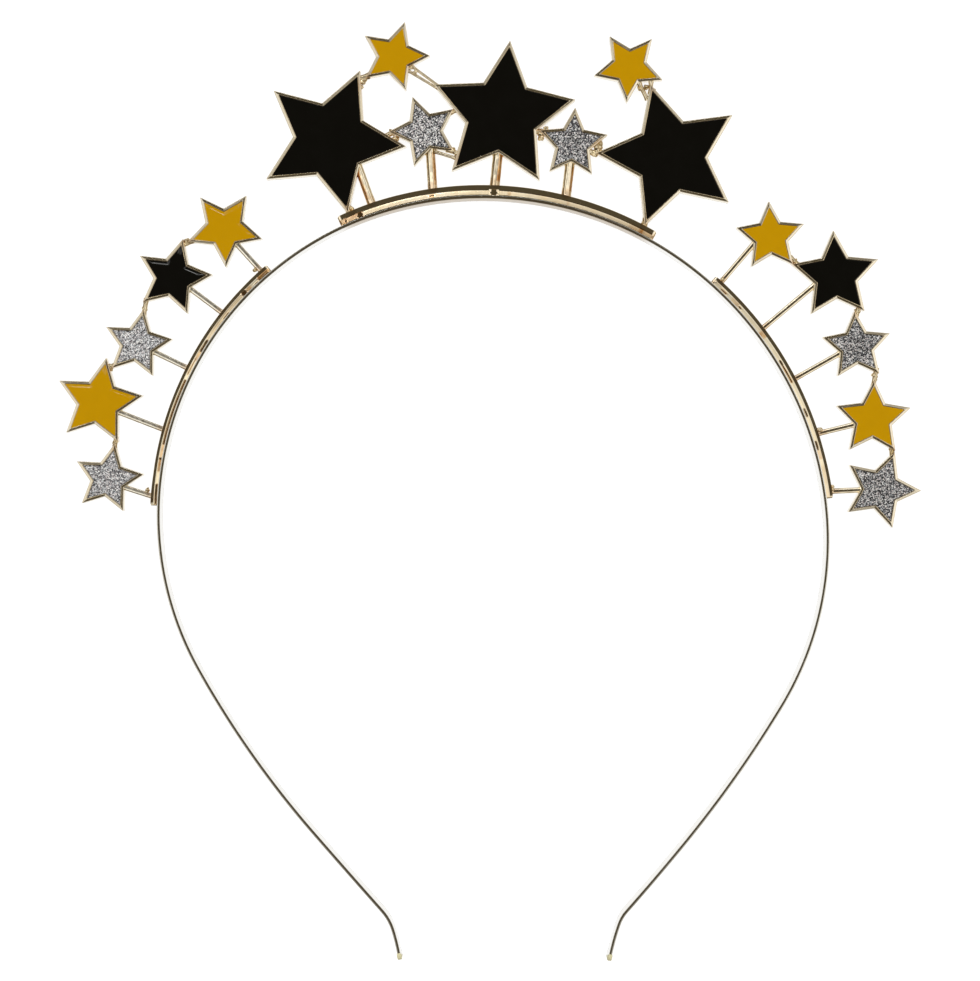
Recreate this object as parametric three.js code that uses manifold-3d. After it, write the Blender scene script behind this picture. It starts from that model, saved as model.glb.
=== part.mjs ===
// Star headband: a springy metal hoop with three soldered frames of enamelled stars.
// Units are millimetres, +Z is up.  The hoop lies flat on its back edge, the enamel faces up.
import * as THREE from 'three';
import { mergeVertices } from 'three/addons/utils/BufferGeometryUtils.js';
import Module from 'manifold-3d';

const wasm = await Module();
wasm.setup();

// ---- hoop strip -------------------------------------------------------------------------
const BAND_DEPTH = 5.0;        // strip width, standing up from the table
const BAND_THICKNESS = 0.6;
const BAND_EDGE = 0.12;        // broken edges of the strip
const BAND_STEP = 4.0;         // length of one facet along the strip
const TIP_HALF = 0.42;         // half thickness of the coined bead at each tip
const TIP_LENGTH = 1.3;
const CROWN = { x: 0, y: 55.75, headingDeg: -1.317 };  // middle of the strip at the top of the hoop
// from the crown down each side: length along the strip, turn towards the inside of the hoop
const LEFT_RUN = [
  { length: 20.0, turn: 17.8 },
  { length: 55.1, turn: 52.28 },
  { length: 52.9, turn: 50.42 },
  { length: 37.9, turn: 11.88 },
  { length: 19.8, turn: 0.63 },
  { length: 4.2, turn: -24.36 },
  { length: 5.6, turn: -8.06 },
];
const RIGHT_RUN = [
  { length: 52.5, turn: 45.94 },
  { length: 38.3, turn: 32.95 },
  { length: 43.5, turn: 41.01 },
  { length: 31.4, turn: 8.02 },
  { length: 17.5, turn: 2.4 },
  { length: 2.8, turn: -22.34 },
  { length: 7.0, turn: -8.19 },
];

// ---- rails: round bars on the outer face of the strip, by distance from the crown ---------
const BOND_GAP = 0.1;          // bond line between the strip and a rail
const MID_HEIGHT = 2.9;        // height of the rails' middle line over the table
const RAIL_SIDES = 12;
const RAILS = {
  left:  { from: -95.6, to: -44.7, diameter: 1.5 },
  top:   { from: -29.0, to: 32.2, diameter: 2.1 },
  right: { from: 45.8, to: 93.3, diameter: 1.5 },
};

// ---- star trays -----------------------------------------------------------------------------
const NOTCH_RATIO = 0.5;       // inner corner radius over tip radius
const RIM_WIDTH = 0.55;
const POCKET_DEPTH = 0.75;
const FILL_BELOW_RIM = 0.15;   // enamel surface under the rim
const FILL_GAP = 0.08;
const WALL_DRAFT_DEG = 3;      // the walls widen towards the back
const STAR_FRONT = 3.9;        // height of the stars' front faces over the table
const BIG_STAR_FROM = 10;      // tip radius above which a tray is thick
const TRAY_THICKNESS = { small: 1.7, big: 2.0 };
const STARS = [
  // name,      x,      y,    tip radius, turn, fill
  ['left_1', -50.54, 49.91, 7.48, 56.1, 'mustard'],
  ['left_2', -60.29, 40.62, 7.52, 3.4, 'black'],
  ['left_3', -67.11, 27.91, 6.76, 7.5, 'glitter'],
  ['left_4', -74.50, 16.89, 8.51, 7.8, 'mustard'],
  ['left_5', -72.67, 2.24, 6.82, 7.0, 'glitter'],
  ['top_1', -30.29, 66.69, 14.38, 67.2, 'black'],
  ['top_2', -18.22, 82.63, 6.85, 0.9, 'mustard'],
  ['top_3', -12.45, 68.38, 6.95, 37.3, 'glitter'],
  ['top_4', 2.30, 71.42, 14.30, 11.9, 'black'],
  ['top_5', 15.75, 66.01, 6.89, 14.1, 'glitter'],
  ['top_6', 26.45, 80.66, 6.87, 50.4, 'mustard'],
  ['top_7', 34.35, 63.63, 14.17, 33.6, 'black'],
  ['right_1', 53.43, 48.28, 6.80, 21.1, 'mustard'],
  ['right_2', 65.82, 40.87, 8.66, 21.1, 'black'],
  ['right_3', 69.81, 27.44, 6.76, 21.4, 'glitter'],
  ['right_4', 72.94, 13.64, 7.41, 16.5, 'mustard'],
  ['right_5', 74.44, 0.19, 7.62, 70.3, 'glitter'],
].map(([name, x, y, tip, turn, fill]) => ({ name, x, y, tip, turn, fill, frame: name.split('_')[0] }));

// ---- posts from a star's inner corner to its rail ---------------------------------------------
const POST_SIDES = 10;
const POST_INTO_STAR = 0.9;
const POST_STAR_HEIGHT = 2.45; // height of a post's middle where it meets its star
const POSTS = [
  // star,    x and y at the star, x and y at the rail, diameter
  ['left_1', -48.22, 46.65, -44.10, 42.10, 1.05],
  ['left_2', -57.08, 38.40, -51.30, 34.07, 1.05],
  ['left_3', -63.88, 26.45, -57.89, 23.56, 1.05],
  ['left_4', -70.47, 14.92, -62.43, 11.82, 1.05],
  ['left_5', -69.64, 0.70, -64.49, -0.95, 1.05],
  ['top_1', -25.27, 61.84, -22.80, 55.01, 1.55],
  ['top_3', -11.40, 64.70, -10.95, 57.66, 1.8],
  ['top_4', 1.52, 64.31, 0.91, 58.33, 1.9],
  ['top_5', 15.20, 62.04, 14.54, 56.52, 1.85],
  ['right_1', 49.84, 46.78, 44.17, 40.15, 1.05],
  ['right_2', 61.35, 38.93, 52.19, 31.29, 1.05],
  ['right_3', 66.16, 25.84, 58.58, 21.57, 1.05],
  ['right_4', 68.91, 12.41, 63.16, 11.02, 1.05],
  ['right_5', 70.57, 0.11, 65.55, -0.11, 1.05],
].map(([star, x1, y1, x2, y2, diameter]) => ({ star, x1, y1, x2, y2, diameter }));

// ---- solder bridges between neighbouring stars, or from a star's tip to the rail ---------------
const BRIDGE_SIDES = 8;
const BRIDGE_BELOW_FRONT = 0.75;  // depth of a bridge's middle under the star fronts
const BRIDGES = [
  // frame,  star a,   x,      y,     star b,   x,      y,   diameter
  ['left', 'left_1', -56.3, 47.6, 'left_2', -58.4, 46.8, 1.0],
  ['left', 'left_2', -65.4, 36.6, 'left_3', -66.0, 33.3, 1.1],
  ['left', 'left_3', -71.2, 24.0, 'left_4', -73.0, 23.4, 1.0],
  ['left', 'left_4', -71.2, 10.2, 'left_5', -71.6, 7.3, 1.0],
  ['top', 'top_1', -25.4, 78.3, 'top_2', -22.9, 79.2, 1.1],
  ['top', 'top_2', -15.6, 80.9, 'top_4', -9.6, 76.6, 1.4],
  ['top', 'top_1', -20.4, 67.2, 'top_3', -18.4, 68.3, 1.2],
  ['top', 'top_3', -7.6, 71.9, 'top_4', -5.9, 72.8, 1.0],
  ['top', 'top_3', -8.3, 65.0, 'top_4', -5.9, 64.1, 1.1],
  ['top', 'top_4', 7.9, 68.3, 'top_5', 10.7, 68.3, 1.1],
  ['top', 'top_5', 18.8, 64.5, 'top_7', 21.9, 64.3, 1.2],
  ['top', 'top_6', 28.4, 77.6, 'top_7', 30.0, 74.4, 1.0],
  ['top', 'top_6', 30.7, 77.9, 'top_7', 30.5, 75.4, 1.0],
  ['top', 'top_1', -27.2, 54.3, 'rail', -26.7, 51.9, 1.3],
  ['top', 'top_7', 29.7, 51.9, 'rail', 29.3, 49.8, 1.3],
  ['right', 'right_1', 57.1, 44.5, 'right_2', 58.9, 42.8, 1.1],
  ['right', 'right_2', 70.4, 35.3, 'right_3', 69.5, 32.7, 1.1],
  ['right', 'right_3', 73.6, 23.4, 'right_4', 73.0, 19.7, 1.1],
  ['right', 'right_4', 76.4, 9.2, 'right_5', 76.6, 5.9, 1.1],
].map(([frame, a, x1, y1, b, x2, y2, diameter]) => ({ frame, a, x1, y1, b, x2, y2, diameter }));

// ---- materials ----------------------------------------------------------------------------------
const gold = () => new THREE.MeshStandardMaterial({ color: 0xd8b878, metalness: 1.0, roughness: 0.18 });
const FILLS = {
  mustard: () => new THREE.MeshStandardMaterial({ color: 0xb88900, metalness: 0.0, roughness: 0.2 }),
  black: () => new THREE.MeshStandardMaterial({ color: 0x0c0c0b, metalness: 0.0, roughness: 0.15 }),
  glitter: () => new THREE.MeshStandardMaterial({ color: 0x9b9ba2, metalness: 0.6, roughness: 0.45 }),
};

// ---- solids ---------------------------------------------------------------------------------------
const rad = THREE.MathUtils.degToRad;

function toSolid(geometry) {
  const bare = geometry.index ? geometry.clone() : geometry;
  bare.deleteAttribute('normal');
  bare.deleteAttribute('uv');
  const merged = mergeVertices(bare, 1e-4);
  return new wasm.Manifold(new wasm.Mesh({
    numProp: 3,
    vertProperties: new Float32Array(merged.attributes.position.array),
    triVerts: new Uint32Array(merged.index.array),
  }));
}

function toGeometry(solid) {
  const mesh = solid.getMesh();
  const geometry = new THREE.BufferGeometry();
  geometry.setAttribute('position', new THREE.BufferAttribute(new Float32Array(mesh.vertProperties), 3));
  geometry.setIndex(new THREE.BufferAttribute(new Uint32Array(mesh.triVerts), 1));
  geometry.computeVertexNormals();
  return geometry;
}

// the strip's middle line: points every `step`, each with its distance s from the crown
// (negative on the left) and the unit vector out of the hoop
function runPoints(run, side, step) {
  const points = [];
  let { x, y } = CROWN;
  let heading = rad(CROWN.headingDeg) + (side < 0 ? Math.PI : 0);
  let s = 0;
  const put = () => points.push({
    x, y, s: side * s,
    nx: side * Math.cos(heading + Math.PI / 2), ny: side * Math.sin(heading + Math.PI / 2),
  });
  put();
  for (const { length, turn } of run) {
    const n = Math.max(Math.ceil(length / step), Math.ceil(Math.abs(turn) / 6));
    for (let i = 0; i < n; i++) {
      const half = (-side * rad(turn)) / n / 2;
      heading += half;
      x += (length / n) * Math.cos(heading);
      y += (length / n) * Math.sin(heading);
      heading += half;
      s += length / n;
      put();
    }
  }
  return points;
}

function middleLine(step) {
  const left = runPoints(LEFT_RUN, -1, step).reverse();
  return left.concat(runPoints(RIGHT_RUN, 1, step).slice(1));
}

function bandGeometry() {
  const line = middleLine(BAND_STEP);
  const first = line[0].s;
  const last = line[line.length - 1].s;
  const half = (s) => {
    const fromTip = Math.min(s - first, last - s);
    return fromTip < TIP_LENGTH ? TIP_HALF : BAND_THICKNESS / 2;
  };
  // one extra station where each tip bead begins
  const stations = [];
  for (let i = 0; i < line.length; i++) {
    stations.push(line[i]);
    const next = line[i + 1];
    if (!next) break;
    for (const edge of [first + TIP_LENGTH, last - TIP_LENGTH]) {
      if (edge > line[i].s && edge < next.s) {
        const t = (edge - line[i].s) / (next.s - line[i].s);
        const mix = (k) => line[i][k] + t * (next[k] - line[i][k]);
        const at = { x: mix('x'), y: mix('y'), nx: mix('nx'), ny: mix('ny') };
        stations.push({ ...at, s: edge - 0.01 }, { ...at, s: edge + 0.01, x: at.x + 0.25 * (next.x - at.x), y: at.y + 0.25 * (next.y - at.y) });
      }
    }
  }
  const outer = stations.map((p) => new THREE.Vector2(p.x + p.nx * half(p.s), p.y + p.ny * half(p.s)));
  const inner = stations.map((p) => new THREE.Vector2(p.x - p.nx * half(p.s), p.y - p.ny * half(p.s)));
  // a blunt round end past each last station
  const end = (p, q) => {
    const dx = p.x - q.x;
    const dy = p.y - q.y;
    const l = Math.hypot(dx, dy);
    return [-0.5, 0.5].map((k) => new THREE.Vector2(
      p.x + (dx / l) * 0.35 + p.nx * k * TIP_HALF, p.y + (dy / l) * 0.35 + p.ny * k * TIP_HALF));
  };
  const n = stations.length;
  const leftEnd = end(stations[0], stations[1]);
  const rightEnd = end(stations[n - 1], stations[n - 2]).reverse();
  const outline = [...outer, ...rightEnd, ...inner.reverse(), ...leftEnd];
  return new THREE.ExtrudeGeometry(new THREE.Shape(outline), {
    depth: BAND_DEPTH - 2 * BAND_EDGE, bevelEnabled: true, bevelSegments: 1,
    bevelSize: BAND_EDGE, bevelThickness: BAND_EDGE, bevelOffset: -BAND_EDGE,
  }).translate(0, 0, BAND_EDGE);
}

function circle(radius, sides) {
  const points = [];
  for (let i = 0; i < sides; i++) {
    const a = (2 * Math.PI * (i + 0.5)) / sides;
    points.push(new THREE.Vector2(radius * Math.cos(a), radius * Math.sin(a)));
  }
  return new THREE.Shape(points);
}

// circumscribed radius of a regular polygon whose flats lie at `radius`
const flatsAt = (radius, sides) => radius / Math.cos(Math.PI / sides);

function railSolid({ from, to, diameter }) {
  const offset = BAND_THICKNESS / 2 + BOND_GAP + diameter / 2;
  const line = middleLine(0.5).filter((p) => p.s >= from && p.s <= to);
  const curve = new THREE.CatmullRomCurve3(
    line.map((p) => new THREE.Vector3(p.x + p.nx * offset, p.y + p.ny * offset, MID_HEIGHT)));
  return toSolid(new THREE.ExtrudeGeometry(circle(flatsAt(diameter / 2, RAIL_SIDES), RAIL_SIDES), {
    steps: Math.round((to - from) / BAND_STEP), extrudePath: curve, bevelEnabled: false,
  }));
}

function rodSolid(a, b, diameter, sides) {
  const axis = b.clone().sub(a);
  const length = axis.length();
  const geometry = new THREE.CylinderGeometry(diameter / 2, diameter / 2, length, sides);
  geometry.applyQuaternion(new THREE.Quaternion().setFromUnitVectors(new THREE.Vector3(0, 1, 0), axis.normalize()));
  const middle = a.clone().add(b).multiplyScalar(0.5);
  return toSolid(geometry.translate(middle.x, middle.y, middle.z));
}

function starShape(tip, inset) {
  // half angle of a tip, from its corner to the two neighbouring inner corners
  const notch = tip * NOTCH_RATIO;
  const halfTip = Math.atan2(notch * Math.sin(rad(36)), tip - notch * Math.cos(rad(36)));
  const halfNotch = halfTip + rad(36);
  const radii = [tip - inset / Math.sin(halfTip), notch - inset / Math.sin(halfNotch)];
  const points = [];
  for (let k = 0; k < 10; k++) {
    const a = rad(36 * k);
    points.push(new THREE.Vector2(radii[k % 2] * Math.cos(a), radii[k % 2] * Math.sin(a)));
  }
  return new THREE.Shape(points);
}

// distance of a star's sides from its centre
function sideDistance(tip) {
  const notch = tip * NOTCH_RATIO;
  return tip * Math.sin(Math.atan2(notch * Math.sin(rad(36)), tip - notch * Math.cos(rad(36))));
}

// the placing of a star: turned in its own plane and put at its centre
const starMatrix = (star) => new THREE.Matrix4().makeTranslation(star.x, star.y, STAR_FRONT)
  .multiply(new THREE.Matrix4().makeRotationZ(rad(star.turn)));

const trayThickness = (star) => (star.tip > BIG_STAR_FROM ? TRAY_THICKNESS.big : TRAY_THICKNESS.small);

function slab(shape, from, to, widenBackBy) {
  const geometry = new THREE.ExtrudeGeometry(shape, { depth: to - from, bevelEnabled: false }).translate(0, 0, from);
  if (widenBackBy) {
    const position = geometry.attributes.position;
    for (let i = 0; i < position.count; i++) {
      if (position.getZ(i) < (from + to) / 2) {
        position.setX(i, position.getX(i) * widenBackBy);
        position.setY(i, position.getY(i) * widenBackBy);
      }
    }
  }
  return geometry;
}

function traySolid(star) {
  const t = trayThickness(star);
  const side = sideDistance(star.tip);
  const back = 1 + (t * Math.tan(rad(WALL_DRAFT_DEG))) / side;
  return toSolid(slab(starShape(star.tip, 0), -t, 0, back).applyMatrix4(starMatrix(star)));
}

const pocketSolid = (star) => toSolid(
  slab(starShape(star.tip, RIM_WIDTH), -POCKET_DEPTH, 0.4).applyMatrix4(starMatrix(star)));

const fillGeometry = (star) => slab(
  starShape(star.tip, RIM_WIDTH + FILL_GAP), FILL_GAP - POCKET_DEPTH, -FILL_BELOW_RIM).applyMatrix4(starMatrix(star));

const starNamed = (name) => STARS.find((s) => s.name === name);

function frameSolid(frame) {
  let solid = railSolid(RAILS[frame]);
  const mine = STARS.filter((s) => s.frame === frame);
  for (const star of mine) solid = solid.add(traySolid(star));
  for (const post of POSTS.filter((p) => starNamed(p.star).frame === frame)) {
    const foot = new THREE.Vector3(post.x2, post.y2, MID_HEIGHT);
    const head = new THREE.Vector3(post.x1, post.y1, POST_STAR_HEIGHT);
    const along = head.clone().sub(foot).normalize();
    head.addScaledVector(along, POST_INTO_STAR);
    foot.addScaledVector(along, -0.45 * RAILS[frame].diameter);
    solid = solid.add(rodSolid(foot, head, post.diameter, POST_SIDES));
  }
  for (const bridge of BRIDGES.filter((b) => b.frame === frame)) {
    const starEnd = STAR_FRONT - BRIDGE_BELOW_FRONT;
    const from = new THREE.Vector3(bridge.x1, bridge.y1, starEnd);
    const to = new THREE.Vector3(bridge.x2, bridge.y2, bridge.b === 'rail' ? MID_HEIGHT : starEnd);
    solid = solid.add(rodSolid(from, to, bridge.diameter, BRIDGE_SIDES));
  }
  for (const star of mine) solid = solid.subtract(pocketSolid(star));
  return solid;
}

// ---- scene graph -------------------------------------------------------------------------------------
const headband = new THREE.Group();
const add = (name, geometry, material) => {
  const mesh = new THREE.Mesh(geometry, material);
  mesh.name = name;
  headband.add(mesh);
};

add('band', bandGeometry(), gold());
for (const frame of Object.keys(RAILS)) add(`${frame}_star_frame`, toGeometry(frameSolid(frame)), gold());
for (const star of STARS) add(`${star.frame}_enamel_${star.name.split('_')[1]}`, fillGeometry(star), FILLS[star.fill]());

// the origin is under the middle of the whole, on the table
const box = new THREE.Box3().setFromObject(headband);
const centre = box.getCenter(new THREE.Vector3());
for (const mesh of headband.children) mesh.geometry.translate(-centre.x, -centre.y, -box.min.z);

export default headband;
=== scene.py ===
"""Looks of the star headband: a springy metal hoop with three soldered frames of enamelled stars.

All sizes are millimetres until a mesh is made, and metres after that.
"""

import math

import bmesh
import bpy
import numpy as np
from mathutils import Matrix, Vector, noise


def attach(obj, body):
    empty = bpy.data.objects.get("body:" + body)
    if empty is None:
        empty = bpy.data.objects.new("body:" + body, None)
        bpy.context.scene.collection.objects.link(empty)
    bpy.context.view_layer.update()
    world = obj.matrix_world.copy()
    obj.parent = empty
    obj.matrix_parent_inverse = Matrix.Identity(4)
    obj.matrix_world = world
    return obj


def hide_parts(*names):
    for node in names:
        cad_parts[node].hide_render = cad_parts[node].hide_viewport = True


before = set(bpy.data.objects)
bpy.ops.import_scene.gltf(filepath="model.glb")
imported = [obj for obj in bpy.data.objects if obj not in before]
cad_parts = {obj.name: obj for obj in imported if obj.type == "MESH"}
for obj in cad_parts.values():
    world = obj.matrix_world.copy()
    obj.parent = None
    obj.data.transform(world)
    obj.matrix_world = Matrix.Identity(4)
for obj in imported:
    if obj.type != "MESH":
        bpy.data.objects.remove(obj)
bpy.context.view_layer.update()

MM = 0.001
CENTRE = (0.04028, -0.05156)         # middle of the whole before it is put on the origin

# ---- hoop strip ------------------------------------------------------------------------------
BAND_DEPTH = 5.0
BAND_HALF = 0.3
BAND_EDGE = 0.05                     # radius of the strip's long edges
TIP_HALF = 0.42                      # half thickness of the coined bead at each tip
TIP_LENGTH = 1.25
TIP_OVER = 0.35                      # round end past the last station
CROWN = (0.0, 55.75, -1.317)         # x, y and heading of the strip at the crown
LEFT_RUN = [(20.0, 17.8), (55.1, 52.28), (52.9, 50.42), (37.9, 11.88), (19.8, 0.63), (4.2, -24.36), (5.6, -8.06)]
RIGHT_RUN = [(52.5, 45.94), (38.3, 32.95), (43.5, 41.01), (31.4, 8.02), (17.5, 2.4), (2.8, -22.34), (7.0, -8.19)]

# ---- rails -------------------------------------------------------------------------------------
MID_HEIGHT = 2.9
POST_STAR_HEIGHT = 2.45             # height of a post's middle where it enters its star
RAILS = {  # from, to (distance from the crown), height
    "left": (-95.6, -44.7, 1.5),
    "top": (-29.0, 32.2, 2.1),
    "right": (45.8, 93.3, 1.5),
}
RAIL_WIDTH = {  # distance from the crown, width out from the strip's outer face
    "left": [(-95.6, 1.46), (-90.0, 1.36), (-72.0, 1.34), (-60.0, 1.47), (-44.7, 1.60)],
    "top": [(-29.0, 2.06), (-20.0, 2.12), (8.0, 2.08), (24.0, 1.96), (32.2, 1.86)],
    "right": [(45.8, 1.60), (64.0, 1.60), (85.0, 1.42), (93.3, 1.40)],
}
RAIL_UNDER = [  # shares of the width and of the height, from the strip round to the outer wall
    (0.00, -0.30), (0.02, -0.33), (0.08, -0.37), (0.18, -0.42), (0.32, -0.465), (0.50, -0.49), (0.68, -0.47), (0.83, -0.40),
    (0.94, -0.28), (0.99, -0.14), (1.00, 0.0),
]
RAIL_UPPER = {  # share of the width and fall below the flat in mm, from the outer wall over the top to the strip
    "top": [(1.0, 0.55), (1.0, 0.16), (0.985, 0.05), (0.965, 0.0), (0.535, 0.0), (0.515, 0.0), (0.495, 0.013), (0.475, 0.033), (0.195, 0.311), (0.165, 0.341), (0.15, 0.353), (0.135, 0.360), (0.0, 0.360)],
    "side": [(1.0, 0.50), (1.0, 0.15), (0.985, 0.05), (0.965, 0.0), (0.62, 0.0), (0.59, 0.0), (0.55, 0.018), (0.03, 0.30), (0.0, 0.32)],
}
SLOPE_END = 0.535                    # share of the width where the slope meets the flat
SLOPE_SHARE = [(-5.0, 1.0), (9.0, 0.88)]     # distance from the crown, how much of its full breadth the top rail's slope has
RAIL_MARKS = [
    # rail, from, to, middle and half width out from the strip, how level the slope is there, heat colour
    ("top", -29.0, 32.2, 0.64, 0.44, 0.0, 0.22),
    ("top", -29.1, -25.4, 0.60, 0.60, 0.0, 0.75), ("top", -25.5, -24.3, 0.60, 0.55, 0.8, 0.9), ("top", -28.0, -27.6, 0.60, 0.5, 0.8, 0.9),
    ("top", -11.6, -10.4, 0.70, 0.30, 0.2, 0.8), ("top", 0.0, 1.4, 0.66, 0.6, 0.9, 0.3),
    ("top", 3.2, 4.0, 0.62, 0.3, 0.0, 0.6), ("top", 14.5, 15.2, 0.60, 0.3, 0.0, 0.5),
    ("top", 26.8, 32.4, 0.60, 0.60, 0.0, 0.5), ("top", 29.0, 30.0, 0.6, 0.5, 0.0, 1.0),
    ("left", -95.4, -91.5, 0.42, 0.22, 0.8, 0.8), ("left", -89.2, -86.6, 0.42, 0.24, 0.3, 1.0), ("left", -86.9, -86.5, 0.42, 0.24, 1.0, 1.0),
    ("left", -86.4, -84.0, 0.42, 0.24, 0.0, 0.8), ("left", -84.0, -71.1, 0.39, 0.19, 0.9, 1.0), ("left", -70.0, -66.4, 0.50, 0.12, 0.6, 0.8),
    ("left", -67.0, -64.6, 0.42, 0.28, 0.0, 0.8), ("left", -65.1, -62.5, 0.42, 0.19, 1.0, 0.9), ("left", -62.4, -52.0, 0.45, 0.40, 0.0, 0.28),
    ("left", -57.6, -56.0, 0.30, 0.12, 0.8, 0.7), ("left", -51.9, -50.7, 0.55, 0.36, 0.9, 1.0), ("left", -50.6, -49.5, 0.50, 0.36, 0.0, 0.9),
    ("left", -48.9, -47.9, 0.30, 0.12, 0.6, 0.6), ("left", -47.7, -45.0, 0.55, 0.35, 0.5, 1.0),
    ("right", 46.0, 46.5, 0.50, 0.40, 0.4, 0.5), ("right", 48.1, 49.6, 0.45, 0.25, 0.4, 0.9), ("right", 50.8, 52.7, 0.50, 0.45, 0.0, 0.5),
    ("right", 52.8, 53.5, 0.50, 0.19, 1.0, 0.6), ("right", 59.0, 60.5, 0.50, 0.50, 0.0, 0.8), ("right", 65.5, 66.6, 0.52, 0.20, 1.0, 0.5),
    ("right", 66.6, 70.4, 0.50, 0.20, 0.7, 1.0), ("right", 75.7, 77.4, 0.47, 0.19, 1.0, 0.5), ("right", 82.2, 84.0, 0.42, 0.19, 1.0, 0.5),
    ("right", 84.0, 85.8, 0.50, 0.40, 0.0, 0.5), ("right", 87.0, 93.3, 0.50, 0.50, 0.0, 0.22),
]

# ---- stars --------------------------------------------------------------------------------------
NOTCH_RATIO = 0.5
RIM_WIDTH = 0.55
WALL_DRAFT = math.radians(3)
STAR_FRONT = 3.9
STARS = [
    # name, x, y, tip radius, turn, fill, dome of the fill
    ("left_1", -50.54, 49.91, 7.48, 56.1, "mustard", 0.080),
    ("left_2", -60.29, 40.62, 7.52, 3.4, "black", 0.080),
    ("left_3", -67.11, 27.91, 6.76, 7.5, "glitter", 0.0),
    ("left_4", -74.50, 16.89, 8.51, 7.8, "mustard", 0.080),
    ("left_5", -72.67, 2.24, 6.82, 7.0, "glitter", 0.0),
    ("top_1", -30.29, 66.69, 14.38, 67.2, "black", 0.0),
    ("top_2", -18.22, 82.63, 6.85, 0.9, "mustard", 0.0),
    ("top_3", -12.45, 68.38, 6.95, 37.3, "glitter", 0.0),
    ("top_4", 2.30, 71.42, 14.30, 11.9, "black", 0.0),
    ("top_5", 15.75, 66.01, 6.89, 14.1, "glitter", 0.0),
    ("top_6", 26.45, 80.66, 6.87, 50.4, "mustard", 0.0),
    ("top_7", 34.35, 63.63, 14.17, 33.6, "black", 0.0),
    ("right_1", 53.43, 48.28, 6.80, 21.1, "mustard", 0.0),
    ("right_2", 65.82, 40.87, 8.66, 21.1, "black", 0.0),
    ("right_3", 69.81, 27.44, 6.76, 21.4, "glitter", 0.0),
    ("right_4", 72.94, 13.64, 7.41, 16.5, "mustard", 0.0),
    ("right_5", 74.44, 0.19, 7.62, 70.3, "glitter", 0.0),
]

# ---- posts: star, x and y at the star, x and y at the rail, diameter --------------------------------
POSTS = [
    ("left_1", -48.09, 46.76, -43.97, 42.21, 1.05),
    ("left_2", -57.08, 38.40, -51.30, 34.07, 1.05),
    ("left_3", -63.92, 26.37, -57.93, 23.48, 1.05),
    ("left_4", -70.51, 14.83, -62.47, 11.73, 1.05),
    ("left_5", -69.67, 0.60, -64.52, -1.05, 1.05),
    ("top_1", -25.16, 61.88, -22.69, 55.05, 1.65),
    ("top_3", -11.40, 64.70, -10.95, 57.66, 1.8),
    ("top_4", 1.52, 64.31, 0.91, 58.33, 1.9),
    ("top_5", 15.20, 62.04, 14.54, 56.52, 1.85),
    ("right_1", 49.98, 46.66, 44.31, 40.03, 1.05),
    ("right_2", 61.46, 38.79, 52.30, 31.15, 1.05),
    ("right_3", 66.16, 25.84, 58.58, 21.57, 1.05),
    ("right_4", 68.91, 12.41, 63.16, 11.02, 1.05),
    ("right_5", 70.57, 0.11, 65.55, -0.11, 1.05),
]
POST_INTO_STAR = 0.9
REFLECTION_FLANK = {"top_1": (-1, 0.04), "top_3": (1, 0.10), "top_4": (1, 0.06), "top_5": (1, 0.15)}  # the flank of a post painted brown as a reflection, and where across the post the painting starts
FACET_SIDE = {"top_1": -1, "top_3": -1, "top_4": -1, "top_5": 1}    # which way a post's filed facet leans

# ---- solder bridges: frame, star a, x, y, star b or rail, x, y, diameter --------------------------------
BRIDGE_BELOW_FRONT = 0.75
BRIDGES = [
    ("left", "left_1", -56.3, 47.6, "left_2", -58.4, 46.8, 1.0),
    ("left", "left_2", -65.4, 36.6, "left_3", -66.0, 33.3, 1.1),
    ("left", "left_3", -71.2, 24.0, "left_4", -73.0, 23.4, 1.0),
    ("left", "left_4", -71.2, 10.2, "left_5", -71.6, 7.3, 1.0),
    ("top", "top_1", -25.4, 78.3, "top_2", -22.9, 79.2, 1.1),
    ("top", "top_2", -14.8, 80.75, "top_4", -9.55, 76.9, 0.66),
    ("top", "top_2", -15.5, 79.9, "top_4", -9.75, 76.45, 0.66),
    ("top", "top_1", -20.4, 67.2, "top_3", -18.4, 68.3, 1.2),
    ("top", "top_3", -7.6, 71.9, "top_4", -5.9, 72.8, 1.0),
    ("top", "top_3", -8.3, 65.0, "top_4", -5.9, 64.1, 1.1),
    ("top", "top_3", -10.6, 64.55, "top_4", -6.5, 63.3, 0.8),
    ("top", "top_4", 7.9, 68.3, "top_5", 10.7, 68.3, 1.1),
    ("top", "top_5", 18.8, 64.5, "top_7", 21.9, 64.3, 1.2),
    ("top", "top_6", 28.4, 77.6, "top_7", 30.0, 74.4, 1.0),
    ("top", "top_6", 30.7, 77.9, "top_7", 30.5, 75.4, 1.0),
    ("top", "top_1", -27.2, 54.3, "rail", -26.7, 51.9, 1.3),
    ("top", "top_7", 29.7, 51.9, "rail", 29.3, 49.8, 1.3),
    ("right", "right_1", 57.1, 44.5, "right_2", 58.9, 42.8, 1.1),
    ("right", "right_2", 70.4, 35.3, "right_3", 69.5, 32.7, 1.1),
    ("right", "right_3", 73.6, 23.4, "right_4", 73.0, 19.7, 1.1),
    ("right", "right_4", 76.4, 9.2, "right_5", 76.6, 5.9, 1.1),
]

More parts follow.
